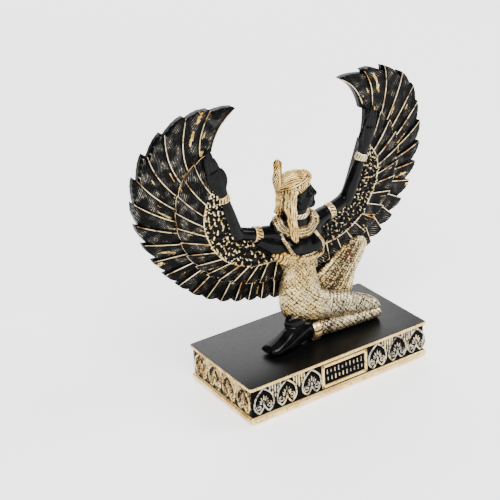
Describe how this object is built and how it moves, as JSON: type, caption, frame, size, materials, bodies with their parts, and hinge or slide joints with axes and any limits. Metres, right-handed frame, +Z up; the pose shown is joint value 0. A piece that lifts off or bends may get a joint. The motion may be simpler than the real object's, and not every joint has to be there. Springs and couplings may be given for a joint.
{
  "type": "winged goddess statue",
  "caption": "Kneeling Egyptian goddess with raised arms and spread feathered wings, on a rectangular plinth with a heart-leaf frieze; black and gold cast resin.",
  "frame": {"origin": "middle of the whole statue's box, on the surface that the pads stand on", "axes": "+X along the plinth's long side and the wing span, the way the head looks; -Y the way the torso faces; +Z up"},
  "size_m": [0.13, 0.045, 0.1197],
  "materials": {
    "figure_resin": "glossy black lacquer with champagne gold dress, headdress and feather rims",
    "plinth_resin": "satin black with gold brushed over the raised ornament and edges",
    "pad_rubber": "matt black"
  },
  "bodies": {
    "root": {"goddess_figure": "figure_resin", "plinth": "plinth_resin", "foot_pad_front_left": "pad_rubber", "foot_pad_front_right": "pad_rubber", "foot_pad_back_left": "pad_rubber", "foot_pad_back_right": "pad_rubber"}
  },
  "joints": []
}
